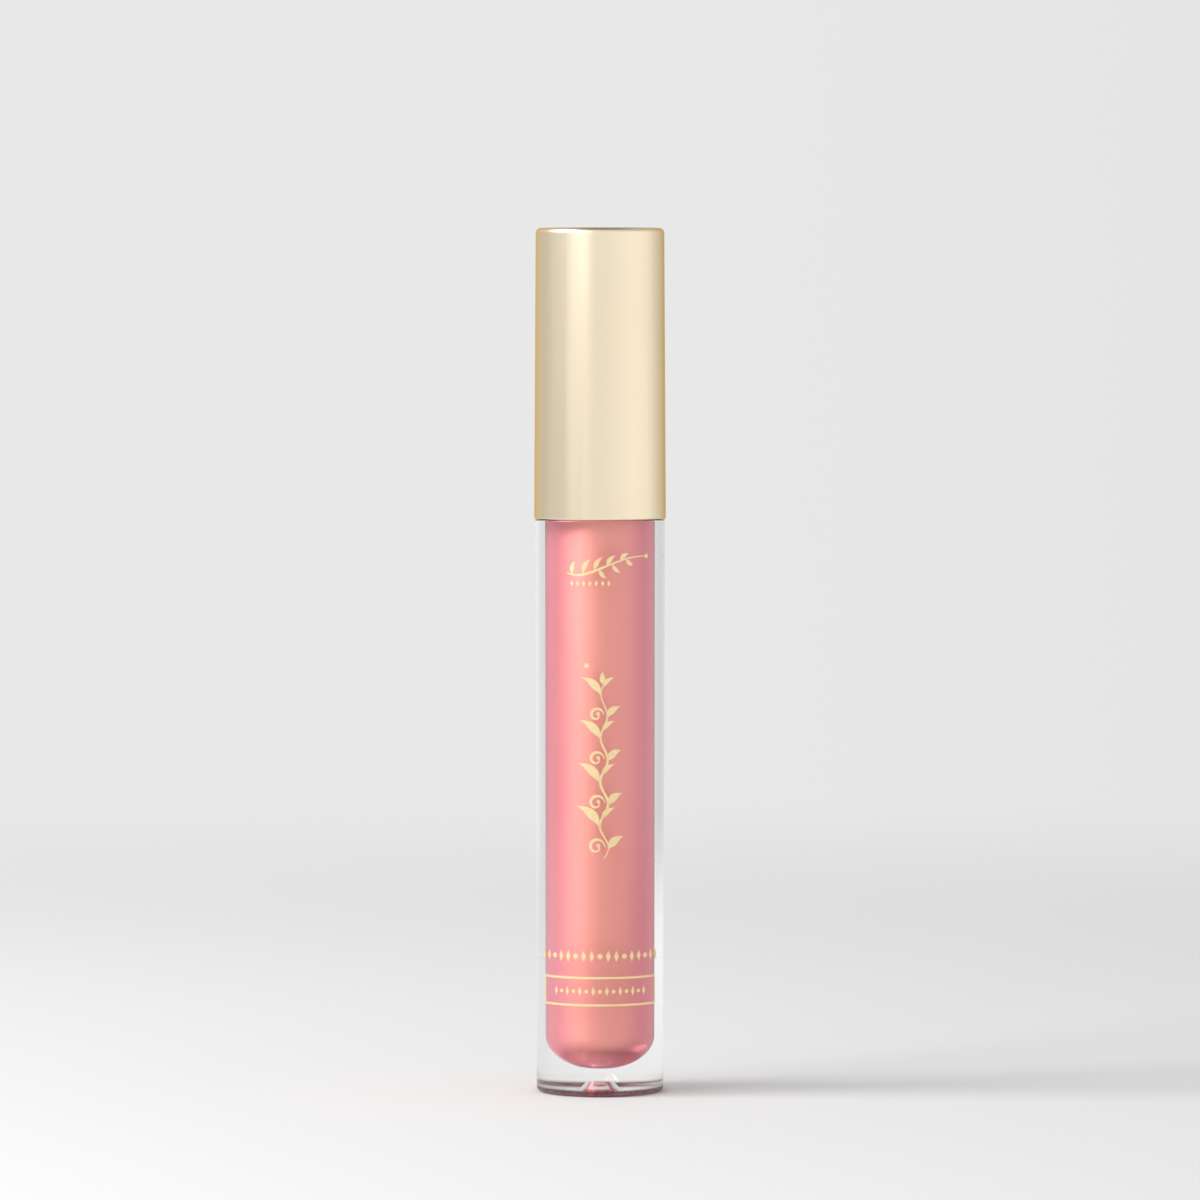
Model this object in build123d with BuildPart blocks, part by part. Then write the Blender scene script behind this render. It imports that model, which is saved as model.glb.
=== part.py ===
"""Lip gloss tube: a thick-walled clear bottle, its wiper, and a screw cap that carries the wand.

Millimetres. The tube stands on z = 0 with its axis along +Z, and its front faces -Y.
"""

import os
from math import cos, radians, sin

from build123d import *

# ---- Driving dimensions ------------------------------------------------------------------------

total_height = 118.0
clear = 0.05  # radial gap of a piece that slides or turns past another
seat_gap = 0.02  # gap between flat faces that part when the tube is opened

# Bottle: clear PETG, moulded with draft, so the body is widest at the shoulder.
body_base_radius = 8.7
body_top_radius = 8.9
shoulder_z = 78.3
base_edge_radius = 0.75
shoulder_edge_radius = 0.15
bore_floor_z = 3.4
bore_corner_radius = 4.2  # rounding between the bore's small flat floor and its wall
bore_low_radius = 4.7
bore_top_radius = 4.75
foot_ring_inner_radius = 7.3  # the bottle stands on a ring, outside this radius
foot_recess = 0.5
foot_recess_taper = 39.0  # degrees by which the recess narrows towards its roof
gate_mouth_radius = 1.7  # moulding gate pocket in the middle of the recess
gate_top_radius = 1.25
gate_top_z = 1.75
gate_crown = 0.25  # how far the pocket's roof is domed

# Neck and its thread
neck_radius = 5.95
neck_top_z = 91.6
neck_bore_radius = 4.8
neck_bore_depth = 10.2  # the wiper's seat, wider than the gloss bore
bead_radius = 6.8
bead_low_z, bead_high_z = 80.1, 81.0
neck_lip_radius = 0.3
lead = 2.6
thread_turns = 1.5
thread_height = 0.65
thread_root_width = 1.3
thread_crest_width = 0.6
thread_start_z = 83.4
thread_sink = 0.15  # how far a ridge reaches into the wall that carries it
thread_flank_gap = 0.12  # between the cap's ridge and the neck's, along the axis
thread_crest_gap = 0.18  # between a ridge's crest and the wall that faces it

# Wiper: pressed into the neck
wiper_flange_radius = 5.75
wiper_flange_height = 0.8
wiper_wall = 0.65
wiper_sleeve_length = 7.2
wiper_length = 10.9
wiper_lip_wall = 0.35
wiper_bead = 0.1  # interference of each of its beads in the neck
wiper_bead_count = 3
wiper_bead_pitch = 1.8

# Wand
stem_radius = 1.95
stem_foot_z = 19.0
stem_top_z = 104.0
spigot_radius = 0.9
spigot_length = 6.5
tip_z = 5.2
flock_thickness = 0.3
tip_slant = 17.0  # degrees between the doe-foot's flat and the wand's axis
tip_flat_depth = 1.5  # how much of the tip's width the flat takes off at its end

# Gasket: a washer round the stem, between the wiper and the cap
gasket_radius = 5.5
gasket_height = 0.8

# Inner cap
skirt_radius = 7.8
skirt_foot_z = 79.0
thread_root_radius = neck_radius + thread_height + thread_crest_gap
skirt_mouth_radius = 7.05
skirt_mouth_z = 81.2
deck_height = 1.5
sleeve_wall = 0.9
sleeve_top_z = 111.0
boss_radius = 3.5
boss_top_z = 105.6
web_count = 6
web_thickness = 0.8
web_top_z = 103.0
grip_rib_count = 16
grip_rib_width = 0.9
snap_z = 80.3
snap_bead = 0.18

# Outer cap: widest at its open end
cap_rim_radius = 9.0
cap_top_radius = 8.78
cap_rim_z = 78.4
cap_bore_radius = 7.95
cap_ceiling_z = 116.2
cap_top_edge_radius = 0.7
cap_rim_edge_radius = 0.15
cap_mouth_chamfer = 0.25
ceiling_rib_count = 6

# Gloss
gloss_level_z = 79.8

# ---- Worked out from these ---------------------------------------------------------------------

wiper_seat_z = neck_top_z + wiper_flange_height
gasket_top_z = wiper_seat_z + gasket_height
deck_z = gasket_top_z + seat_gap
wiper_lip_z = neck_top_z - wiper_length
orifice_radius = stem_radius + clear
ridge_depth = thread_height + thread_sink
flank_slope = (thread_root_width - thread_crest_width) / 2 / ridge_depth
ridge_base_span = thread_root_radius - neck_radius + 2 * thread_sink
ridge_spacing = thread_root_width - flank_slope * ridge_base_span + thread_flank_gap
cap_thread_start_z = thread_start_z - ridge_spacing


def bore_radius_at(z):
    """Radius of the drafted gloss bore at height z."""
    wall_foot_z = bore_floor_z + bore_corner_radius
    share = (z - wall_foot_z) / (shoulder_z - wall_foot_z)
    return bore_low_radius + share * (bore_top_radius - bore_low_radius)


def bore_outline(top_z):
    """Half the section of the gloss bore: a round-cornered floor, the drafted wall, then flat at top_z."""
    centre = (bore_low_radius - bore_corner_radius, bore_floor_z + bore_corner_radius)
    rounding = CenterArc(centre, bore_corner_radius, -90, 90)
    wall = Line(rounding @ 1, (bore_radius_at(top_z), top_z))
    Polyline(wall @ 1, (0, top_z), (0, bore_floor_z), rounding @ 0)


def ridge(root_radius, outward, start_z):
    """A helical thread ridge that stands out of, or into, a wall of root_radius."""
    sink, crest = root_radius - outward * thread_sink, root_radius + outward * thread_height
    with BuildPart() as built:
        with BuildLine() as path:
            Helix(lead, lead * thread_turns, root_radius, center=(0, 0, start_z))
        with BuildSketch(Plane.XZ) as section:
            with BuildLine():
                Polyline(
                    (sink, start_z - thread_root_width / 2),
                    (crest, start_z - thread_crest_width / 2),
                    (crest, start_z + thread_crest_width / 2),
                    (sink, start_z + thread_root_width / 2),
                    close=True,
                )
            make_face()
        sweep(sections=section.sketch, path=path.line, is_frenet=True)
    return built.part


def doe_foot(radius, end_z, top_z, flat_offset):
    """A round tip with a hemispherical end and one slanted flat on its front side."""
    with BuildPart() as built:
        with BuildSketch(Plane.XZ):
            with BuildLine():
                end = CenterArc((0, end_z + radius), radius, -90, 90)
                Polyline(end @ 1, (radius, top_z), (0, top_z), (0, end_z))
            make_face()
        revolve(axis=Axis.Z)
        slant = radians(tip_slant)
        flat = Plane(
            origin=(0, -flat_offset, end_z),
            x_dir=(1, 0, 0),
            z_dir=(0, -cos(slant), -sin(slant)),
        )
        split(bisect_by=flat, keep=Keep.BOTTOM)
        fillet(built.edges().filter_by(GeomType.ELLIPSE), radius=0.25 * radius)
    return built.part


# ---- Bottle ------------------------------------------------------------------------------------

neck_ridge = ridge(neck_radius, 1, thread_start_z)

with BuildPart() as bottle:
    with BuildSketch(Plane.XZ):
        with BuildLine():
            Polyline(
                (0, 0),
                (body_base_radius, 0),
                (body_top_radius, shoulder_z),
                (neck_radius, shoulder_z),
                (neck_radius, neck_top_z),
                (0, neck_top_z),
                close=True,
            )
        make_face()
    revolve(axis=Axis.Z)
    rims = bottle.edges().filter_by(GeomType.CIRCLE).group_by(Axis.Z)
    fillet(rims[0], radius=base_edge_radius)
    rims = bottle.edges().filter_by(GeomType.CIRCLE).group_by(Axis.Z)
    fillet(rims[-2].sort_by(SortBy.RADIUS)[-1], radius=shoulder_edge_radius)
    rims = bottle.edges().filter_by(GeomType.CIRCLE).group_by(Axis.Z)
    fillet(rims[-1], radius=neck_lip_radius)
    with BuildSketch(Plane.XY.offset(bead_low_z)):
        Circle(bead_radius)
    extrude(amount=bead_high_z - bead_low_z)
    add(neck_ridge)
    # gloss bore, then the wiper's seat above it
    with BuildSketch(Plane.XZ):
        with BuildLine():
            bore_outline(neck_top_z)
        make_face()
    revolve(axis=Axis.Z, mode=Mode.SUBTRACT)
    with BuildSketch(Plane.XY.offset(neck_top_z)):
        Circle(neck_bore_radius)
    extrude(amount=-neck_bore_depth, mode=Mode.SUBTRACT)
    # underside: a shallow recess inside the foot ring, and the gate pocket
    with BuildSketch(Plane.XY):
        Circle(foot_ring_inner_radius)
    extrude(amount=foot_recess, taper=foot_recess_taper, mode=Mode.SUBTRACT)
    with BuildSketch(Plane.XZ):
        with BuildLine():
            crown = ThreePointArc(
                (gate_top_radius, gate_top_z - gate_crown),
                (0, gate_top_z),
                (-gate_top_radius, gate_top_z - gate_crown),
            )
            Polyline(
                crown @ 1,
                (-gate_mouth_radius, foot_recess),
                (gate_mouth_radius, foot_recess),
                crown @ 0,
            )
        make_face()
        split(bisect_by=Plane.YZ, keep=Keep.TOP)
    revolve(axis=Axis.Z, mode=Mode.SUBTRACT)

bottle.part.label = "bottle"

# ---- Wiper -------------------------------------------------------------------------------------

with BuildPart() as wiper:
    sleeve_foot_z = neck_top_z - wiper_sleeve_length
    sleeve_inner = neck_bore_radius - wiper_wall
    with BuildSketch(Plane.XZ):
        with BuildLine():
            Polyline(
                (wiper_flange_radius, neck_top_z),
                (wiper_flange_radius, wiper_seat_z),
                (sleeve_inner + wiper_wall / 2, wiper_seat_z),
                (sleeve_inner, wiper_seat_z - wiper_wall / 2),
                (sleeve_inner, sleeve_foot_z),
                (orifice_radius, wiper_lip_z + wiper_lip_wall),
                (orifice_radius, wiper_lip_z),
                (orifice_radius + wiper_lip_wall, wiper_lip_z),
                (neck_bore_radius, sleeve_foot_z),
                (neck_bore_radius, neck_top_z),
                close=True,
            )
        make_face()
    revolve(axis=Axis.Z)
    for number in range(wiper_bead_count):
        bead_z = neck_top_z - wiper_bead_pitch * (number + 0.75)
        with BuildSketch(Plane.XZ):
            with BuildLine():
                Polyline(
                    (neck_bore_radius - wiper_wall / 2, bead_z - 3 * wiper_bead),
                    (neck_bore_radius, bead_z - 3 * wiper_bead),
                    (neck_bore_radius + wiper_bead, bead_z),
                    (neck_bore_radius, bead_z + wiper_bead),
                    (neck_bore_radius - wiper_wall / 2, bead_z + wiper_bead),
                    close=True,
                )
            make_face()
        revolve(axis=Axis.Z)

wiper.part.label = "wiper"

# ---- Gloss: fills the bore round a well that the wand stands in --------------------------------

with BuildPart() as gloss:
    with BuildSketch(Plane.XZ):
        with BuildLine():
            bore_outline(gloss_level_z)
        make_face()
    revolve(axis=Axis.Z)
    with BuildSketch(Plane.XY.offset(gloss_level_z)):
        Circle(stem_radius + clear)
    extrude(amount=tip_z - seat_gap - gloss_level_z, mode=Mode.SUBTRACT)

gloss.part.label = "gloss"

# ---- Gasket ------------------------------------------------------------------------------------

with BuildPart() as gasket:
    with BuildSketch(Plane.XY.offset(wiper_seat_z)):
        Circle(gasket_radius)
        Circle(stem_radius + clear, mode=Mode.SUBTRACT)
    extrude(amount=gasket_height)

gasket.part.label = "gasket"

# ---- Stem: a round rod, hollow at its foot for the tip's spigot --------------------------------

with BuildPart() as stem:
    with BuildSketch(Plane.XY.offset(stem_foot_z)):
        Circle(stem_radius)
    extrude(amount=stem_top_z - stem_foot_z)
    chamfer(stem.edges().group_by(Axis.Z)[-1], length=0.4)
    fillet(stem.edges().group_by(Axis.Z)[0], radius=0.2)
    with BuildSketch(Plane.XY.offset(stem_foot_z)):
        Circle(spigot_radius + seat_gap)
    extrude(amount=spigot_length + 0.3, mode=Mode.SUBTRACT)

stem.part.label = "stem"

# ---- Applicator: a soft core on a spigot, in a coat of flock -----------------------------------

core_radius = stem_radius - flock_thickness
flock_flat = stem_radius - tip_flat_depth
core_head = doe_foot(core_radius, tip_z + flock_thickness, stem_foot_z - seat_gap, flock_flat - flock_thickness)
flock_head = doe_foot(stem_radius, tip_z, stem_foot_z - seat_gap, flock_flat)

with BuildPart() as applicator_core:
    add(core_head)
    with BuildSketch(Plane.XY.offset(stem_foot_z - 1)):
        Circle(spigot_radius)
    extrude(amount=spigot_length + 1)

applicator_core.part.label = "applicator_core"

with BuildPart() as applicator_flock:
    add(flock_head)
    add(core_head, mode=Mode.SUBTRACT)

applicator_flock.part.label = "applicator_flock"

# ---- Inner cap: threaded skirt, deck, stem socket and a sleeve that holds the outer cap --------

cap_ridge = ridge(thread_root_radius, -1, cap_thread_start_z)

with BuildPart() as inner_cap:
    with BuildSketch(Plane.XY.offset(skirt_foot_z)):
        Circle(skirt_radius)
    extrude(amount=sleeve_top_z - skirt_foot_z)
    with BuildSketch(Plane.XY.offset(skirt_foot_z)):
        Circle(thread_root_radius)
    extrude(amount=deck_z - skirt_foot_z, mode=Mode.SUBTRACT)
    with BuildSketch(Plane.XY.offset(skirt_foot_z)):
        Circle(skirt_mouth_radius)
    extrude(amount=skirt_mouth_z - skirt_foot_z, mode=Mode.SUBTRACT)
    with BuildSketch(Plane.XY.offset(sleeve_top_z)):
        Circle(skirt_radius - sleeve_wall)
    extrude(amount=deck_z + deck_height - sleeve_top_z, mode=Mode.SUBTRACT)
    # stem boss and the webs that brace it
    with BuildSketch(Plane.XY.offset(deck_z)):
        Circle(boss_radius)
    extrude(amount=boss_top_z - deck_z)
    with BuildSketch(Plane.XY.offset(deck_z)):
        with PolarLocations((boss_radius + skirt_radius) / 2 - 0.3, web_count):
            Rectangle(skirt_radius - boss_radius - 0.2, web_thickness)
    extrude(amount=web_top_z - deck_z)
    with BuildSketch(Plane.XY.offset(deck_z)):
        Circle(stem_radius + seat_gap)
    extrude(amount=stem_top_z + 0.4 - deck_z, mode=Mode.SUBTRACT)
    # ribs and a snap bead that hold the outer cap
    with BuildSketch(Plane.XY.offset(snap_z + 2)):
        with PolarLocations(0, grip_rib_count):
            Rectangle(cap_bore_radius, grip_rib_width, align=(Align.MIN, Align.CENTER))
        Circle(cap_bore_radius, mode=Mode.INTERSECT)
        Circle(skirt_radius - 0.2, mode=Mode.SUBTRACT)
    extrude(amount=sleeve_top_z - snap_z - 3)
    with BuildSketch(Plane.XZ):
        with BuildLine():
            Polyline(
                (skirt_radius - 0.2, snap_z - 0.3),
                (skirt_radius, snap_z - 0.3),
                (cap_bore_radius + snap_bead, snap_z),
                (skirt_radius, snap_z + 0.5),
                (skirt_radius - 0.2, snap_z + 0.5),
                close=True,
            )
        make_face()
    revolve(axis=Axis.Z)
    add(cap_ridge)

inner_cap.part.label = "inner_cap"

# ---- Outer cap ---------------------------------------------------------------------------------

with BuildPart() as outer_cap:
    with BuildSketch(Plane.XZ):
        with BuildLine():
            Polyline(
                (0, cap_rim_z),
                (cap_rim_radius, cap_rim_z),
                (cap_top_radius, total_height),
                (0, total_height),
                close=True,
            )
        make_face()
    revolve(axis=Axis.Z)
    fillet(outer_cap.edges().group_by(Axis.Z)[-1], radius=cap_top_edge_radius)
    fillet(outer_cap.edges().group_by(Axis.Z)[0], radius=cap_rim_edge_radius)
    with BuildSketch(Plane.XY.offset(cap_rim_z)):
        Circle(cap_bore_radius)
    extrude(amount=cap_ceiling_z - cap_rim_z, mode=Mode.SUBTRACT)
    mouth = outer_cap.edges().filter_by(GeomType.CIRCLE).group_by(Axis.Z)[0]
    chamfer(mouth.sort_by(SortBy.RADIUS)[0], length=cap_mouth_chamfer)
    # groove for the inner cap's snap bead
    with BuildSketch(Plane.XZ):
        with BuildLine():
            Polyline(
                (cap_bore_radius - 0.1, snap_z - 0.45),
                (cap_bore_radius + snap_bead + clear, snap_z - 0.1),
                (cap_bore_radius + snap_bead + clear, snap_z + 0.1),
                (cap_bore_radius - 0.1, snap_z + 0.65),
                close=True,
            )
        make_face()
    revolve(axis=Axis.Z, mode=Mode.SUBTRACT)
    # ribs under the ceiling, which stop the inner cap
    with BuildSketch(Plane.XY.offset(sleeve_top_z + seat_gap)):
        with PolarLocations(cap_bore_radius - 0.55, ceiling_rib_count):
            Rectangle(1.5, 0.8)
    extrude(amount=cap_ceiling_z + 0.3 - sleeve_top_z)

outer_cap.part.label = "outer_cap"

# ---- Write each piece --------------------------------------------------------------------------

os.makedirs("parts", exist_ok=True)
pieces = (
    bottle,
    wiper,
    gloss,
    gasket,
    stem,
    applicator_core,
    applicator_flock,
    inner_cap,
    outer_cap,
)
for piece in pieces:
    export_step(piece.part, f"parts/{piece.part.label}.step")
    print(piece.part.label, round(piece.part.volume, 1), "mm3")
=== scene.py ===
"""Looks of the lip gloss tube: clear bottle, pearly gloss, gold print, satin gold cap and the wand inside.

Lengths named in millimetres are turned into metres by mm(). The tube stands on z = 0 and faces -Y.
"""

from math import cos, pi, radians, sin, sqrt, tau

import bmesh
import bpy
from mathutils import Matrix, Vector


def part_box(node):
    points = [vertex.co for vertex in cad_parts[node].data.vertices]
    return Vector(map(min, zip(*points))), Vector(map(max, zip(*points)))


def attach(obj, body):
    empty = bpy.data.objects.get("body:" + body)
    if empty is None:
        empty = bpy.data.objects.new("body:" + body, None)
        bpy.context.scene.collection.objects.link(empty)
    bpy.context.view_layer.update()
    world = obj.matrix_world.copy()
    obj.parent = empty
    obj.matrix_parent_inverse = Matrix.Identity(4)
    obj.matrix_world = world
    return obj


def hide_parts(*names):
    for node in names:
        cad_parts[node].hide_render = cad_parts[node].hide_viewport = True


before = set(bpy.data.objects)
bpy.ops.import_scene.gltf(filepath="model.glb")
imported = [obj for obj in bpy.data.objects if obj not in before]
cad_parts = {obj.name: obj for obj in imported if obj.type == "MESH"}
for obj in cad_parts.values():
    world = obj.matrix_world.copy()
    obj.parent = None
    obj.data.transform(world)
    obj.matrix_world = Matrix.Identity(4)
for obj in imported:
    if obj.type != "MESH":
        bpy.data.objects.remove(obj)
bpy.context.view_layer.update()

MM = 0.001
AROUND = 256  # faces round a turned piece


def mm(length):
    """Millimetres as metres."""
    return length * MM


def top_of(node):
    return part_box(node)[1].z / MM


def foot_of(node):
    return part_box(node)[0].z / MM


def radius_of(node):
    """Half of a round node's width, in millimetres."""
    low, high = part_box(node)
    return (high.y - low.y) / 2 / MM


# ---- Sizes, in millimetres -----------------------------------------------------------------------

inside = 0.004  # how far a turned outline stays inside the frame's own faces

body_top_radius = radius_of("bottle") - inside
body_base_radius = body_top_radius - 0.2
shoulder_z = foot_of("outer_cap") - 0.1
shoulder_edge = 0.15
shoulder_flat_radius = 8.6
neck_top_z = top_of("bottle")
neck_radius = 5.95
neck_fillet = 0.2
neck_lip = 0.3  # rounding outside the neck's mouth
neck_mouth_edge = 0.15  # rounding inside it
neck_bore_radius = 4.8
neck_bore_floor_z = neck_top_z - 10.2
heel_radius = 0.75
heel_top_z = 1.1  # the heel's painted shade and its stippled roughness have died away at this height
foot_ring_radius = 7.3  # inner radius of the ring that the bottle stands on
foot_ring_slope = 0.4  # width of the slope from the recess down to the ring
foot_recess = 0.5
foot_recess_inner_radius = 2.2
gate_top_z = 1.75  # the gate pocket: a low dome that flares out into the recess
gate_dome_radius = 4.6
gate_dome_edge = 75.5  # the dome's edge, in degrees up from level as seen from its centre
gate_foot_radius = 1.68
gate_flare = 0.25
bead_radius = 6.8
bead_low_z = shoulder_z + 1.8
bead_high_z = shoulder_z + 2.7
bead_chamfer = 0.1
thread_lead = 2.6
thread_turns = 1.5
thread_height = 0.65
thread_root_width = 1.3
thread_crest_width = 0.6
thread_start_z = shoulder_z + 5.1
thread_fade = 0.12  # share of a turn over which the thread's ends die away

bore_floor_z = foot_of("gloss")
bore_corner_radius = 4.2
bore_low_radius = 4.7
bore_top_radius = 4.75
gloss_level_z = top_of("gloss")
gloss_reach = 0.02  # the gloss wets the bore, so its face lies this far inside the plastic
gloss_climb = 0.7  # how far the gloss climbs up the bore's wall
well_radius = 2.0
well_floor_z = foot_of("applicator_flock") - 0.02

cap_rim_radius = radius_of("outer_cap") - inside
cap_top_radius = cap_rim_radius - 0.22
cap_rim_z = foot_of("outer_cap")
cap_top_z = top_of("outer_cap")
cap_bore_radius = 7.95
cap_ceiling_z = cap_top_z - 1.8
cap_top_edge = 0.7
cap_rim_edge = 0.15
cap_bore_edge = 0.25
cap_ceiling_edge = 0.5


def body_radius_at(z):
    """The bottle's outer radius at height z."""
    return body_base_radius + (body_top_radius - body_base_radius) * z / shoulder_z


# ---- Mesh makers ---------------------------------------------------------------------------------


def finish_mesh(name, bm, sharp=35.0):
    """Turns a bmesh into an object with smooth faces and crisp edges."""
    bmesh.ops.recalc_face_normals(bm, faces=bm.faces)
    mesh = bpy.data.meshes.new(name)
    bm.to_mesh(mesh)
    bm.free()
    mesh.polygons.foreach_set("use_smooth", [True] * len(mesh.polygons))
    mesh.set_sharp_from_angle(angle=radians(sharp))
    made = bpy.data.objects.new(name, mesh)
    bpy.context.scene.collection.objects.link(made)
    return made


def corner(centre, radius, start, end, steps):
    """Points along an arc, from angle start to end in degrees. A hollow corner has a negative radius."""
    points = []
    for step in range(steps + 1):
        angle = radians(start + (end - start) * step / steps)
        points.append((centre[0] + radius * cos(angle), centre[1] + radius * sin(angle)))
    return points


def straight(a, b, steps):
    """Points from a to b, both included."""
    return [(a[0] + (b[0] - a[0]) * i / steps, a[1] + (b[1] - a[1]) * i / steps) for i in range(steps + 1)]


def turned(name, outline, bulge=None):
    """A closed solid turned from an axis-to-axis outline; bulge(angle, radius, z) adds to its radius."""
    bm = bmesh.new()
    rings = []
    for radius, z in outline:
        if radius < 1e-6:
            rings.append([bm.verts.new((0, 0, mm(z)))])
            continue
        ring = []
        for i in range(AROUND):
            angle = tau * i / AROUND
            r = mm(radius + (bulge(angle, radius, z) if bulge else 0))
            ring.append(bm.verts.new((r * sin(angle), -r * cos(angle), mm(z))))
        rings.append(ring)
    for lower, upper in zip(rings, rings[1:]):
        for i in range(AROUND):
            j = (i + 1) % AROUND
            if len(lower) == 1:
                bm.faces.new((lower[0], upper[j], upper[i]))
            elif len(upper) == 1:
                bm.faces.new((lower[i], lower[j], upper[0]))
            else:
                bm.faces.new((lower[i], lower[j], upper[j], upper[i]))
    return finish_mesh(name, bm)


# ---- Bottle --------------------------------------------------------------------------------------


def thread_bulge(angle, radius, z):
    """How far the neck's thread stands out at this angle and height."""
    if abs(radius - neck_radius) > 0.01:  # only the neck's straight wall is threaded
        return 0.0
    turn_here = ((angle - pi / 2) % tau) / tau  # the thread starts at +X
    best = 0.0
    for turn in (turn_here, turn_here + 1):
        if turn > thread_turns:
            continue
        fade = min(1.0, turn / thread_fade, (thread_turns - turn) / thread_fade)
        away = abs(z - thread_start_z - thread_lead * turn)
        slope = (thread_root_width - thread_crest_width) / 2
        share = (thread_root_width / 2 - away) / slope
        best = max(best, min(1.0, max(0.0, share)) * thread_height * fade)
    return best


def bore_points():
    """The gloss bore's outline from the axis at its floor to the foot of its wall."""
    centre = (bore_low_radius - bore_corner_radius, bore_floor_z + bore_corner_radius)
    return [(0, bore_floor_z)] + corner(centre, bore_corner_radius, -90, 0, 40)


def foot_points():
    """The bottle's underside and heel, from the axis at the gate pocket's top to the side wall's foot."""
    slope_top_radius = foot_ring_radius - foot_ring_slope
    return (
        corner((0, gate_top_z - gate_dome_radius), gate_dome_radius, 90, gate_dome_edge, 6)
        + corner((gate_foot_radius + gate_flare, foot_recess + gate_flare), -gate_flare, 20, 90, 4)
        + straight((foot_recess_inner_radius, foot_recess), (slope_top_radius, foot_recess), 6)
        + straight((foot_ring_radius, 0.0), (body_base_radius - heel_radius, 0.0), 3)
        + corner((body_base_radius - heel_radius, heel_radius), heel_radius, -90, 0, 12)[1:]
    )


def neck_points():
    """The neck from its foot on the shoulder, past the bead and the thread, to the floor of its bore."""
    mouth = (neck_bore_radius + neck_mouth_edge, neck_top_z - neck_mouth_edge)
    return (
        corner((neck_radius + neck_fillet, shoulder_z + neck_fillet), -neck_fillet, 90, 0, 3)
        + [(neck_radius, bead_low_z - bead_chamfer), (bead_radius - bead_chamfer, bead_low_z)]
        + [(bead_radius, bead_low_z + bead_chamfer), (bead_radius, bead_high_z - bead_chamfer)]
        + [(bead_radius - bead_chamfer, bead_high_z), (neck_radius, bead_high_z + bead_chamfer)]
        + straight((neck_radius, bead_high_z + 0.3), (neck_radius, neck_top_z - 1.0), 96)
        + corner((neck_radius - neck_lip, neck_top_z - neck_lip), neck_lip, 0, 90, 5)
        + corner(mouth, neck_mouth_edge, 90, 180, 3)
        + [(neck_bore_radius, neck_bore_floor_z)]
    )


def make_bottle():
    wall_low_z, wall_high_z = 1.2, shoulder_z - 0.4
    outline = (
        foot_points()
        + straight((body_radius_at(wall_low_z), wall_low_z), (body_radius_at(wall_high_z), wall_high_z), 40)
        + corner((body_top_radius - shoulder_edge, shoulder_z - shoulder_edge), shoulder_edge, 0, 90, 6)
        + straight((shoulder_flat_radius, shoulder_z), (neck_radius + neck_fillet, shoulder_z), 3)
        + neck_points()
        + [(bore_top_radius, neck_bore_floor_z)]
        + straight((bore_top_radius, shoulder_z), (bore_low_radius, bore_points()[-1][1] + 0.2), 30)
        + bore_points()[::-1]
    )
    made = turned("bottle_clear", outline, bulge=thread_bulge)
    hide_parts("bottle")
    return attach(made, "bottle")


def make_gloss():
    """The fill: it wets the bore, climbs a little at the wall, and leaves a well round the wand."""
    floor = []
    for radius, z in bore_points():
        share = radius / bore_low_radius
        floor.append((radius + gloss_reach * share, z - gloss_reach * (1 - share)))
    wall_foot = (bore_low_radius + gloss_reach, floor[-1][1] + 0.2)
    level_z = gloss_level_z - gloss_climb
    outline = (
        floor
        + straight(wall_foot, (bore_top_radius + gloss_reach, shoulder_z), 24)
        + corner((bore_top_radius - gloss_climb, gloss_level_z), gloss_climb, 0, -90, 5)
        + [(well_radius + 0.2, level_z), (well_radius, level_z - 0.2)]
        + [(well_radius, well_floor_z + 0.3), (well_radius - 0.3, well_floor_z), (0, well_floor_z)]
    )
    made = turned("gloss_fill", outline)
    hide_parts("gloss")
    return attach(made, "bottle")


# ---- Cap -----------------------------------------------------------------------------------------


def make_outer_cap():
    inner_corner = (cap_bore_radius - cap_ceiling_edge, cap_ceiling_z - cap_ceiling_edge)
    outline = (
        [(0, cap_top_z)]
        + straight((1.0, cap_top_z), (cap_top_radius - cap_top_edge - 0.3, cap_top_z), 5)
        + corner((cap_top_radius - cap_top_edge, cap_top_z - cap_top_edge), cap_top_edge, 90, 0, 14)
        + straight((cap_top_radius, cap_top_z - 1.0), (cap_rim_radius, cap_rim_z + cap_rim_edge + 0.1), 40)
        + corner((cap_rim_radius - cap_rim_edge, cap_rim_z + cap_rim_edge), cap_rim_edge, 0, -90, 4)
        + [(cap_bore_radius + cap_bore_edge, cap_rim_z), (cap_bore_radius, cap_rim_z + cap_bore_edge)]
        + straight((cap_bore_radius, cap_rim_z + 0.5), (cap_bore_radius, inner_corner[1]), 6)
        + corner(inner_corner, cap_ceiling_edge, 0, 90, 4)
        + [(4.0, cap_ceiling_z), (0, cap_ceiling_z)]
    )
    made = turned("outer_cap_gold", outline)
    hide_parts("outer_cap")
    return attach(made, "cap")


# ---- Gold print: thin foil on the bottle's front ---------------------------------------------------

foil_proud = 0.016  # how far the foil stands out of the plastic
foil_sunk = 0.004
foil_across = 4  # faces across a stroke
foil_leaf_point = 0.03  # width of a leaf's pointed ends
foil_lozenge_point = 0.04


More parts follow.
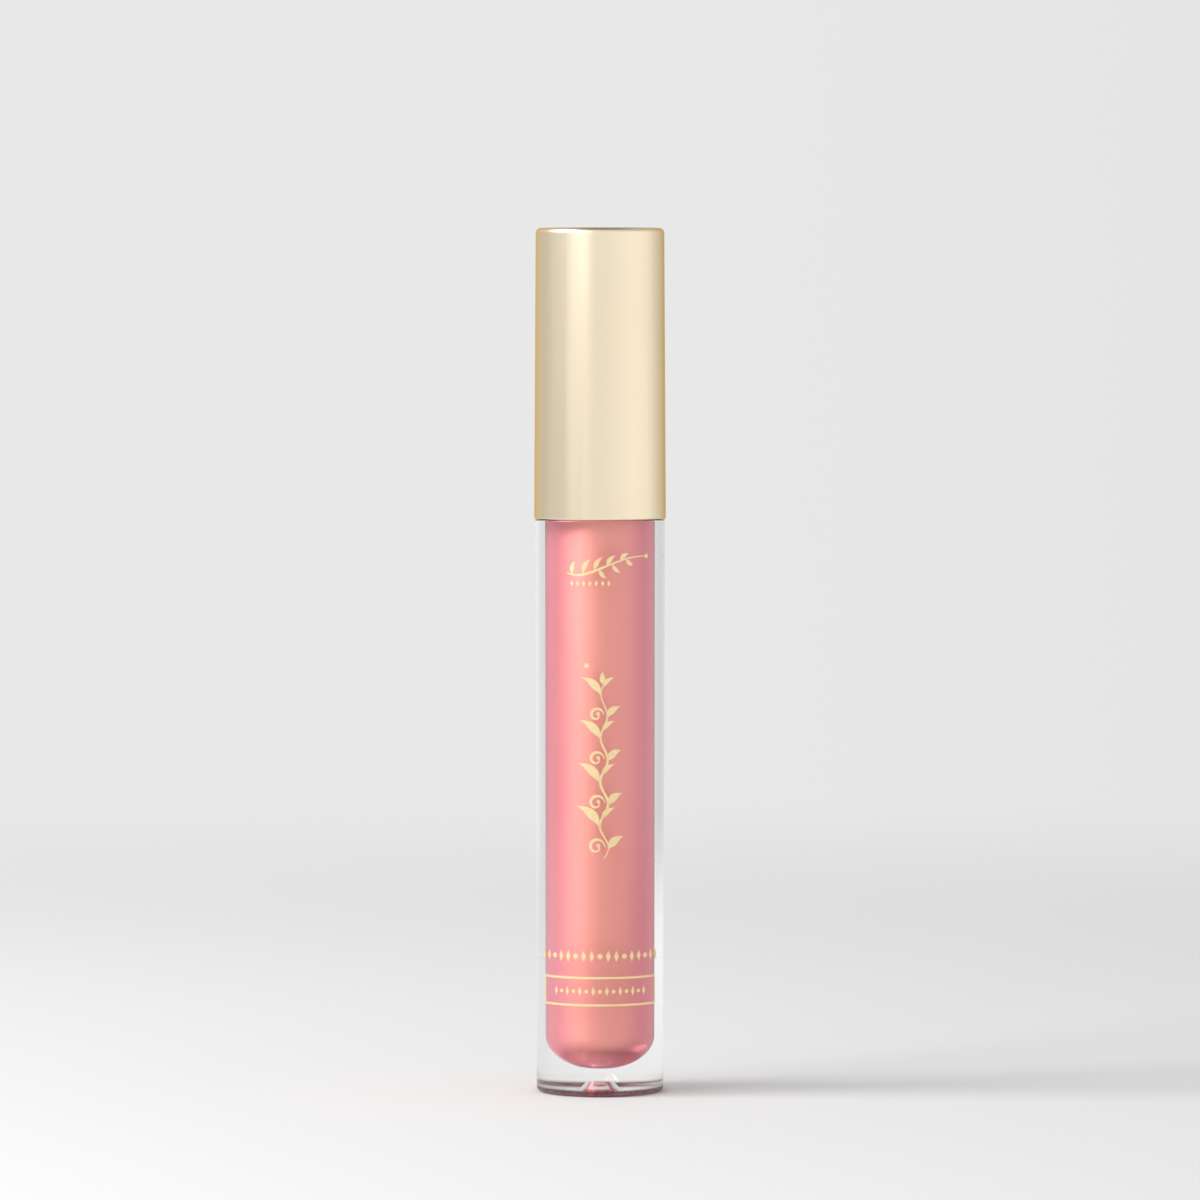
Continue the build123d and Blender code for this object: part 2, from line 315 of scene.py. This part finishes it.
def stroke(bm, points, widths):
    """One foil stroke: points are (u, z) on the bottle's unrolled face, with u to the right of its front."""
    rows = []
    count = len(points)
    for i, (u, z) in enumerate(points):
        u0, z0 = points[max(0, i - 1)]
        u1, z1 = points[min(count - 1, i + 1)]
        length = sqrt((u1 - u0) ** 2 + (z1 - z0) ** 2)
        side_u, side_z = (z1 - z0) / length, (u0 - u1) / length
        row = []
        for j in range(foil_across + 1):
            off = widths[i] * (j / foil_across - 0.5)
            at_u, at_z = u + off * side_u, z + off * side_z
            radius = body_radius_at(at_z)
            angle = at_u / radius
            for reach in (foil_proud, -foil_sunk):
                r = mm(radius + reach)
                row.append(bm.verts.new((r * sin(angle), -r * cos(angle), mm(at_z))))
        rows.append(row)
    for a, b in zip(rows, rows[1:]):
        for j in range(foil_across):
            k = 2 * j
            bm.faces.new((a[k], b[k], b[k + 2], a[k + 2]))
            bm.faces.new((a[k + 1], a[k + 3], b[k + 3], b[k + 1]))
        bm.faces.new((a[0], a[1], b[1], b[0]))
        bm.faces.new((a[-2], b[-2], b[-1], a[-1]))
    for row in (rows[0], rows[-1]):
        for j in range(foil_across):
            k = 2 * j
            bm.faces.new((row[k], row[k + 2], row[k + 3], row[k + 1]))


def bezier(a, b, c, d, steps):
    """Points along a cubic curve."""
    points = []
    for i in range(steps + 1):
        t = i / steps
        w = ((1 - t) ** 3, 3 * t * (1 - t) ** 2, 3 * t * t * (1 - t), t ** 3)
        points.append(tuple(sum(k * p[axis] for k, p in zip(w, (a, b, c, d))) for axis in (0, 1)))
    return points


def swell(count, thin, thick, peak):
    """Widths of a pen stroke: thin at both ends and thick at its peak."""
    widths = []
    for i in range(count):
        t = i / (count - 1)
        share = t / peak if t < peak else (1 - t) / (1 - peak)
        widths.append(thin + (thick - thin) * sin(pi / 2 * min(1.0, share)) ** 1.5)
    return widths


def leaf(bm, foot, angle, length, width, bend):
    """A pointed leaf that grows from foot at this angle, in degrees from +u towards +z, and bows by bend."""
    a = radians(angle)
    along, across = (cos(a), sin(a)), (-sin(a), cos(a))

    def at(forward, sideways):
        return tuple(foot[k] + length * (forward * along[k] + sideways * across[k]) for k in (0, 1))

    points = bezier(at(0, 0), at(0.33, bend), at(0.7, bend), at(1, 0), 14)
    stroke(bm, points, swell(len(points), foil_leaf_point, width, 0.42))


def dot(bm, centre, radius):
    """A round bead, drawn as one short stroke."""
    steps = 10
    points, widths = [], []
    for i in range(steps + 1):
        angle = pi * (0.04 + 0.92 * i / steps)
        points.append((centre[0], centre[1] - radius * cos(angle)))
        widths.append(2 * radius * sin(angle))
    stroke(bm, points, widths)


def lozenge(bm, centre, height, width):
    points = straight((centre[0], centre[1] - height / 2), (centre[0], centre[1] + height / 2), 6)
    stroke(bm, points, [max(foil_lozenge_point, width * (3 - abs(i - 3)) / 3) for i in range(7)])


def curl(bm, foot, size, thin, thick):
    """A tendril that rises from foot and rolls up to the left."""
    steps, turns, inward = 30, 1.1, 0.72
    centre_u = foot[0] - size
    points = []
    for i in range(steps + 1):
        t = i / steps
        radius = size * (1 - inward * t)
        angle = tau * turns * t
        points.append((centre_u + radius * cos(angle), foot[1] + radius * sin(angle)))
    stroke(bm, points, swell(len(points), thin, thick, 0.3))
    dot(bm, points[-1], thick * 0.62)


def make_foil(name, draw):
    bm = bmesh.new()
    draw(bm)
    made = finish_mesh(name, bm, 50)
    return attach(made, "bottle")


def draw_vine(bm):
    """The tall vine up the middle of the front: a waving stem with leaves or a tendril at every bend."""
    foot, tip, middle_u, bends, steps = 32.5, 56.4, 0.55, 8, 140

    def wave(share):
        return 0.62 * (1 - 0.35 * share)

    stem = []
    for i in range(steps + 1):
        t = i / steps
        stem.append((middle_u + wave(t) * sin(pi * bends * t), foot + (tip - foot) * t))
    stroke(bm, stem, swell(len(stem), 0.14, 0.34, 0.35))
    for i in range(bends):
        share = (i + 0.5) / bends
        z = foot + (tip - foot) * share
        size = 1 - 0.025 * i
        if i % 2:
            u = middle_u - wave(share)
            leaf(bm, (u, z - 0.3), 138, 4.5 * size, 1.3 * size, -0.2)
            leaf(bm, (u + 0.2, z + 0.7), 42, 2.7 * size, 0.75 * size, 0.2)
        else:
            u = middle_u + wave(share)
            leaf(bm, (u, z - 0.3), 40, 2.8 * size, 1.1 * size, 0.2)
            curl(bm, (u - 0.45, z + 0.1), 1.2 * size, 0.12, 0.4)
    leaf(bm, (middle_u, tip - 0.4), 96, 2.0, 0.8, 0.08)
    dot(bm, (-1.85, 58.7), 0.34)


def draw_sprig(bm):
    """The small lying sprig under the cap, and a row of beads below it."""
    steps = 44
    twig = bezier((-4.7, 71.3), (-1.6, 69.9), (1.4, 73.6), (6.6, 73.5), steps)
    stroke(bm, twig, swell(len(twig), 0.14, 0.34, 0.3))
    upper = ((0.1, 78, 1.9), (0.26, 62, 2.4), (0.42, 58, 2.2), (0.58, 48, 1.9), (0.74, 38, 1.6))
    lower = ((0.48, -52, 1.6), (0.64, -46, 1.7), (0.8, -38, 1.4))
    for leaves, width, bend in ((upper, 0.64, 0.18), (lower, 0.56, -0.18)):
        for share, angle, length in leaves:
            leaf(bm, twig[int(share * steps)], angle, length, width, bend)
    dot(bm, (6.95, 73.5), 0.3)
    for i in range(7):
        lozenge(bm, (-3.95 + 0.86 * i, 69.85), 0.8, 0.44)


def draw_band(bm):
    """A ring of lozenges and beads, and below it a ruled frame round a second row."""
    ring_z, upper_z, lower_z, row_z = 19.2, 16.26, 12.55, 14.42
    reach = radians(58)  # how far round the bottle the frame goes to each side
    rule = 0.3  # width of the frame's lines
    for i in range(17):
        u = reach * 1.02 * (i / 8 - 1) * body_radius_at(ring_z)
        if i % 3 == 2:
            dot(bm, (u, ring_z), 0.36)
        else:
            lozenge(bm, (u, ring_z), 1.5, 0.66)
    for z in (upper_z, lower_z):
        end = reach * body_radius_at(z)
        points = straight((-end, z), (end, z), 72)
        stroke(bm, points, [rule] * len(points))
    for side in (-1, 1):
        end = side * reach * body_radius_at(row_z)
        points = straight((end, lower_z), (end, upper_z), 8)
        stroke(bm, points, [rule] * len(points))
    for i in range(15):
        u = (i - 7) * 0.93
        if i % 2:
            dot(bm, (u, row_z), 0.26)
        else:
            lozenge(bm, (u, row_z), 1.25, 0.52)


# ---- Materials -----------------------------------------------------------------------------------


class Nodes:
    """A node tree under construction, with its helpers."""

    def __init__(self, tree):
        self.nodes = tree.nodes
        self.links = tree.links

    def node(self, kind, **values):
        """A new node with its attributes or, where it has none of that name, its inputs set."""
        made = self.nodes.new(kind)
        for key, value in values.items():
            if hasattr(made, key):
                setattr(made, key, value)
            else:
                made.inputs[key.replace("_", " ")].default_value = value
        return made

    def join(self, source, target):
        self.links.new(source, target)

    def feed(self, value, target):
        """Gives a socket its value: another socket is joined to it, and a number or colour is set."""
        if isinstance(value, bpy.types.NodeSocket):
            self.join(value, target)
        else:
            target.default_value = value

    def place(self):
        """Where a point lies on the object."""
        return self.node("ShaderNodeTexCoord").outputs["Object"]

    def axis(self, vector, name):
        """The X, Y or Z of a vector."""
        parts = self.node("ShaderNodeSeparateXYZ")
        self.join(vector, parts.inputs["Vector"])
        return parts.outputs[name]

    def length(self, vector):
        made = self.node("ShaderNodeVectorMath", operation="LENGTH")
        self.join(vector, made.inputs[0])
        return made.outputs["Value"]

    def times(self, first, second, use_clamp=False):
        made = self.node("ShaderNodeMath", operation="MULTIPLY", use_clamp=use_clamp)
        self.feed(first, made.inputs[0])
        self.feed(second, made.inputs[1])
        return made.outputs["Value"]

    def coordinates(self, scale=(1, 1, 1)):
        stretch = self.node("ShaderNodeMapping", Scale=scale)
        self.join(self.place(), stretch.inputs["Vector"])
        return stretch.outputs["Vector"]

    def noise(self, vector, scale, detail, roughness):
        made = self.node("ShaderNodeTexNoise", Scale=scale, Detail=detail, Roughness=roughness)
        self.join(vector, made.inputs["Vector"])
        return made.outputs["Fac"]

    def ramp(self, value, stops):
        """Colours by value: stops are (value, (red, green, blue))."""
        made = self.node("ShaderNodeValToRGB")
        elements = made.color_ramp.elements
        while len(elements) < len(stops):
            elements.new(0.5)
        for element, (position, colour) in zip(elements, stops):
            element.position = position
            element.color = (*colour, 1)
        self.join(value, made.inputs["Fac"])
        return made.outputs["Color"]

    def span(self, value, low, high, start=0.0, end=1.0, kind="LINEAR"):
        """Maps value from start..end to low..high."""
        made = self.node("ShaderNodeMapRange", interpolation_type=kind)
        made.inputs["From Min"].default_value = start
        made.inputs["From Max"].default_value = end
        made.inputs["To Min"].default_value = low
        made.inputs["To Max"].default_value = high
        self.join(value, made.inputs["Value"])
        return made.outputs["Result"]

    def blend(self, share, first, second, kind="MIX"):
        made = self.node("ShaderNodeMix", data_type="RGBA", blend_type=kind)
        self.feed(share, made.inputs["Factor"])
        self.feed(first, made.inputs["A"])
        self.feed(second, made.inputs["B"])
        return made.outputs["Result"]


class Shader(Nodes):
    """A Principled material under construction."""

    def __init__(self, name):
        self.material = bpy.data.materials.new(name)
        self.material.use_nodes = True
        super().__init__(self.material.node_tree)
        self.principled = self.nodes["Principled BSDF"]
        self.output = self.nodes["Material Output"]

    def set(self, **values):
        """Sets or joins the Principled shader's sockets."""
        for key, value in values.items():
            self.feed(value, self.principled.inputs[key.replace("_", " ")])

    def facing(self):
        """0 where the surface faces the viewer, 1 at its edges."""
        return self.node("ShaderNodeLayerWeight", Blend=0.5).outputs["Facing"]

    def bump(self, value, distance, strength):
        made = self.node("ShaderNodeBump", Distance=distance, Strength=strength)
        self.join(value, made.inputs["Height"])
        self.set(Normal=made.outputs["Normal"])

    def fade_to(self, shader, share):
        """Mixes the Principled shader with another one, where share is above 0."""
        mix = self.node("ShaderNodeMixShader")
        self.join(share, mix.inputs["Fac"])
        self.join(self.principled.outputs["BSDF"], mix.inputs[1])
        self.join(shader.outputs["BSDF"], mix.inputs[2])
        self.join(mix.outputs["Shader"], self.output.inputs["Surface"])


def clear_plastic():
    """Polished PETG whose heel is stippled and painted dark red: painted shade under the heel and a painted
    reflection of the gloss's shaded underside.

    Shadow rays pass straight through its middle, so that the gloss inside is lit, and are held back near its
    edges, where real plastic bends the light away.
    """
    s = Shader("clear_petg_polished")
    place = s.place()
    across = s.node("ShaderNodeVectorMath", operation="MULTIPLY")
    across.inputs[1].default_value = (1, 1, 0)
    s.join(place, across.inputs[0])
    low = s.span(s.axis(place, "Z"), 1, 0, mm(heel_radius), mm(heel_top_z))
    radius = s.length(across.outputs["Vector"])
    outer = s.span(radius, 0, 1, mm(foot_ring_radius - 0.2), mm(foot_ring_radius + 0.1))
    heel = s.times(low, outer)
    # The heel's dark red is painted shade under the heel and a painted reflection of the gloss's shaded
    # underside, mottled by noise.
    heel_shade_mottle = s.noise(s.coordinates(), 2600, 2.0, 0.6)
    heel_painted_shade = s.ramp(heel_shade_mottle, [(0.35, (0.015, 0.003, 0.005)), (0.65, (0.11, 0.025, 0.032))])
    s.set(IOR=1.57, Transmission_Weight=1.0)
    s.set(Base_Color=s.blend(heel, (0.99, 0.995, 0.995, 1), heel_painted_shade), Roughness=s.span(heel, 0, 0.3))
    through = s.node("ShaderNodeBsdfTransparent")
    let_through = [(0.12, (0.97, 0.975, 0.975)), (0.22, (0.5, 0.5, 0.5)), (0.7, (0.3, 0.3, 0.3))]
    s.join(s.ramp(s.facing(), let_through), through.inputs["Color"])
    s.fade_to(through, s.node("ShaderNodeLightPath").outputs["Is Shadow Ray"])
    return s.material


def pearl_gloss():
    """Coral pink pearly gloss: its base colour is painted by facing, coral where it faces the viewer and
    pinker at its edges, a painted sheen; fine flakes catch the light.
    """
    s = Shader("gloss_pearl_coral")
    # Painted sheen: the base colour turns from coral to pink as the surface turns away from the viewer.
    painted_sheen_colour = s.ramp(s.facing(), [
        (0.0, (1.0, 0.37, 0.31)), (0.13, (1.0, 0.36, 0.34)), (0.24, (1.0, 0.335, 0.36)),
        (0.4, (1.0, 0.32, 0.385)), (0.7, (1.0, 0.37, 0.45)),
    ])
    drift = s.noise(s.coordinates((90, 90, 26)), 2.2, 4.0, 0.55)
    streaks = s.ramp(drift, [(0.3, (0.99, 0.95, 0.95)), (0.7, (1.0, 1.0, 1.0))])
    flakes = s.noise(s.coordinates(), 5200, 2.0, 0.6)
    s.set(Base_Color=s.blend(1.0, painted_sheen_colour, streaks, "MULTIPLY"), Roughness=s.span(flakes, 0.36, 0.44))
    s.set(Metallic=0.8, IOR=2.4, Specular_Tint=(1.0, 0.85, 0.7, 1))
    s.set(Sheen_Weight=1.0, Sheen_Roughness=0.34, Sheen_Tint=(1.0, 0.6, 0.85, 1))
    s.bump(flakes, 0.00002, 0.35)
    return s.material


def satin_gold():
    """Metallised gold under a thin satin lacquer, with faint drawing lines along the cap."""
    s = Shader("cap_satin_gold")
    grain = s.noise(s.coordinates((900, 900, 14)), 1.0, 3.0, 0.6)
    cloud = s.noise(s.coordinates((60, 60, 40)), 1.0, 2.0, 0.5)
    colour = s.ramp(cloud, [(0.25, (0.895, 0.772, 0.568)), (0.75, (0.915, 0.798, 0.603))])
    s.set(Base_Color=colour, Roughness=s.span(grain, 0.24, 0.34), Metallic=1.0)
    s.set(Specular_Tint=(0.8, 0.57, 0.22, 1))
    s.bump(grain, 0.000004, 0.25)
    return s.material


def foil_gold():
    """Hot-stamped gold film: warmer and more matt than the cap, with a faintly uneven stamp."""
    s = Shader("foil_hot_stamped")
    stamp = s.noise(s.coordinates(), 1600, 3.0, 0.6)
    colour = s.ramp(stamp, [(0.3, (0.88, 0.68, 0.36)), (0.7, (0.93, 0.75, 0.43))])
    s.set(Base_Color=colour, Roughness=s.span(stamp, 0.38, 0.55), Metallic=0.75)
    s.bump(stamp, 0.000006, 0.4)
    return s.material


def inner_cap_plastic():
    """White PP with a fine moulded grain."""
    s = Shader("inner_cap_white_pp")
    grain = s.noise(s.coordinates(), 3000, 3.0, 0.6)
    cloud = s.noise(s.coordinates(), 180, 2.0, 0.5)
    colour = s.ramp(cloud, [(0.3, (0.83, 0.83, 0.82)), (0.7, (0.88, 0.88, 0.86))])
    s.set(Base_Color=colour, Roughness=s.span(grain, 0.38, 0.52))
    s.set(Subsurface_Weight=0.15, Subsurface_Radius=(0.001, 0.001, 0.001))
    s.bump(grain, 0.00001, 0.3)
    return s.material


def smeared(name, clean, film, top_z, fade_z, roughness):
    """A piece that dips into the gloss: streaks of film below top_z, thinning out over fade_z millimetres."""
    s = Shader(name)
    streaks = s.noise(s.coordinates((1400, 1400, 160)), 1.0, 4.0, 0.6)
    depth = s.span(s.axis(s.place(), "Z"), 1.25, 0.0, mm(top_z - fade_z), mm(top_z))
    wet = s.times(depth, s.span(streaks, 0.35, 1.1, 0.3, 0.6), use_clamp=True)
    s.set(Base_Color=s.blend(wet, (*clean, 1), (*film, 1)), Roughness=s.span(wet, roughness, 0.22))
    s.bump(streaks, 0.00003, 0.35)
    return s


def wiper_plastic():
    s = smeared("wiper_milky_ldpe", (0.86, 0.86, 0.84), (0.93, 0.36, 0.36), neck_top_z - 3, 9, 0.45)
    s.set(Subsurface_Weight=0.3, Subsurface_Radius=(0.0015, 0.001, 0.001))
    return s.material


def stem_plastic():
    s = smeared("stem_white_plastic", (0.88, 0.88, 0.87), (0.92, 0.40, 0.38), neck_top_z - 6, 16, 0.3)
    s.set(Coat_Weight=0.25, Coat_Roughness=0.1)
    return s.material


def core_elastomer():
    return smeared("tip_core_elastomer", (0.84, 0.80, 0.76), (0.93, 0.38, 0.37), 22, 8, 0.55).material


def soaked_flock():
    """Short nylon fibres, soaked in gloss: coral at the root, paler at the fibre ends."""
    s = Shader("tip_flock_soaked")
    fibres = s.noise(s.coordinates(), 9000, 4.0, 0.75)
    clumps = s.noise(s.coordinates((1, 1, 0.5)), 1500, 3.0, 0.6)
    nap = s.ramp(fibres, [(0.3, (0.72, 0.2, 0.2)), (0.7, (0.97, 0.58, 0.53))])
    shade = s.ramp(clumps, [(0.3, (0.75, 0.6, 0.6)), (0.7, (1.0, 1.0, 1.0))])
    s.set(Base_Color=s.blend(0.6, nap, shade, "MULTIPLY"), Roughness=s.span(clumps, 0.35, 0.75))
    s.set(Sheen_Weight=0.4, Sheen_Roughness=0.5, Sheen_Tint=(1.0, 0.85, 0.82, 1))
    s.bump(fibres, 0.00012, 0.8)
    return s.material


def gasket_foam():
    """Closed-cell PE foam, with painted shade in the pits of its cells."""
    s = Shader("gasket_white_foam")
    cells = s.node("ShaderNodeTexVoronoi", Scale=4200)
    s.join(s.coordinates(), cells.inputs["Vector"])
    depth = cells.outputs["Distance"]
    # The colour is darker in the pits of the cells, where the bump is lowest: painted shade.
    s.set(Base_Color=s.ramp(depth, [(0.0, (0.78, 0.78, 0.77)), (0.6, (0.9, 0.9, 0.89))]), Roughness=0.75)
    s.bump(depth, 0.00006, 0.6)
    return s.material


def dress(made, material):
    made.data.materials.clear()
    made.data.materials.append(material)


# ---- Stage ---------------------------------------------------------------------------------------

# Brightness of the studio by azimuth in degrees: 0 is the camera's side and 90 is +X.
low_band = {
    -180: 0.81, -150: 0.8, -120: 0.6, -90: 0.6, -60: 0.5, -30: 0.78,
    0: 0.9, 60: 1.08, 90: 1.04, 120: 0.73, 150: 0.65, 180: 0.81,
}
middle_band = {-180: 0.58, -60: 0.75, 0: 0.75, 120: 0.58, 180: 0.58}
ceiling = 0.2

floor_radius = 6.0  # the floor's sizes are in metres
floor_near = 0.12  # the floor begins to thin out into the studio here, and is gone at floor_far
floor_far = 0.6
floor_gap = 0.03 * MM  # a hair under the foot, so that the plastic's own underside shows

camera_distance = 0.9355
camera_height = 0.907 * mm(cap_top_z)
camera_tilt = 2.435  # degrees below level


def make_world():
    """A pale studio: brightness by azimuth for a low and a middle band of directions, and a dark ceiling."""
    world = bpy.data.worlds.new("studio")
    bpy.context.scene.world = world
    world.use_nodes = True
    world.cycles.sampling_method = "NONE"  # its light reaches the gloss through the plastic, by refraction
    w = Nodes(world.node_tree)
    direction = w.node("ShaderNodeTexCoord").outputs["Generated"]
    height = w.axis(direction, "Z")
    azimuth = w.node("ShaderNodeMath", operation="ARCTAN2")
    w.join(w.axis(direction, "X"), azimuth.inputs[0])
    w.join(w.times(w.axis(direction, "Y"), -1), azimuth.inputs[1])
    turn = w.span(azimuth.outputs["Value"], 0, 1, -pi, pi)

    def band(values):
        return w.ramp(turn, [(angle / 360 + 0.5, (value, value, value)) for angle, value in values.items()])

    def above(start, end):
        """0 below the first elevation in degrees, 1 above the second."""
        return w.span(height, 0, 1, sin(radians(start)), sin(radians(end)), "SMOOTHSTEP")

    walls = w.blend(above(12, 42), band(low_band), band(middle_band))
    studio = w.blend(above(52, 72), walls, (ceiling, ceiling, ceiling, 1))
    w.join(studio, w.nodes["Background"].inputs["Color"])


def make_floor():
    bpy.ops.mesh.primitive_circle_add(vertices=96, radius=floor_radius, fill_type="NGON")
    floor = bpy.context.object
    floor.name = "floor"
    floor.location.z = -floor_gap
    s = Shader("floor_pale")
    s.set(Base_Color=(0.77, 0.77, 0.77, 1), Roughness=0.9)
    share = s.span(s.length(s.place()), 0, 1, floor_near, floor_far, "SMOOTHERSTEP")
    s.fade_to(s.node("ShaderNodeBsdfTransparent"), share)
    dress(floor, s.material)


def softbox(name, azimuth, elevation, distance, size, power, aim_z):
    """An area light aimed at the tube's axis. Azimuth 0 is the camera's side, and 90 is +X."""
    light = bpy.data.lights.new(name, "AREA")
    light.shape = "RECTANGLE"
    light.size, light.size_y = size
    light.energy = power
    made = bpy.data.objects.new(name, light)
    bpy.context.scene.collection.objects.link(made)
    a, e = radians(azimuth), radians(elevation)
    offset = Vector((sin(a) * cos(e), -cos(a) * cos(e), sin(e))) * distance
    made.location = Vector((0, 0, aim_z)) + offset
    made.rotation_mode = "QUATERNION"
    made.rotation_quaternion = offset.to_track_quat("Z", "Y")
    made.visible_camera = False


def make_camera():
    data = bpy.data.cameras.new("camera")
    made = bpy.data.objects.new("camera", data)
    bpy.context.scene.collection.objects.link(made)
    data.sensor_width = 36
    data.lens = 205.6
    data.clip_start, data.clip_end = 0.05, 20
    made.location = (0, -camera_distance, camera_height)
    made.rotation_euler = (radians(90 - camera_tilt), 0, 0)
    bpy.context.scene.camera = made


def set_look():
    scene = bpy.context.scene
    scene.view_settings.view_transform = "Standard"
    scene.cycles.use_denoising = True
    scene.cycles.max_bounces = 24
    scene.cycles.transmission_bounces = 20
    scene.cycles.glossy_bounces = 8
    scene.cycles.transparent_max_bounces = 24
    scene.cycles.caustics_reflective = False
    scene.cycles.caustics_refractive = True


# ---- Build ---------------------------------------------------------------------------------------

set_look()
make_camera()
make_world()
make_floor()
softbox("key_left", azimuth=-80, elevation=36, distance=0.9, size=(0.36, 0.5), power=5.7, aim_z=mm(60))
softbox("key_front", azimuth=-52, elevation=29, distance=0.9, size=(0.28, 0.5), power=2.23, aim_z=mm(60))
softbox("cap_glow", azimuth=-30, elevation=14, distance=0.3, size=(0.1, 0.12), power=0.066, aim_z=mm(122))

dress(make_bottle(), clear_plastic())
dress(make_gloss(), pearl_gloss())
dress(make_outer_cap(), satin_gold())
for node, material in (
    ("inner_cap", inner_cap_plastic),
    ("wiper", wiper_plastic),
    ("gasket", gasket_foam),
    ("stem", stem_plastic),
    ("applicator_core", core_elastomer),
    ("applicator_flock", soaked_flock),
):
    dress(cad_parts[node], material())
foil = foil_gold()
for name, draw in (("foil_vine", draw_vine), ("foil_sprig", draw_sprig), ("foil_band", draw_band)):
    dress(make_foil(name, draw), foil)
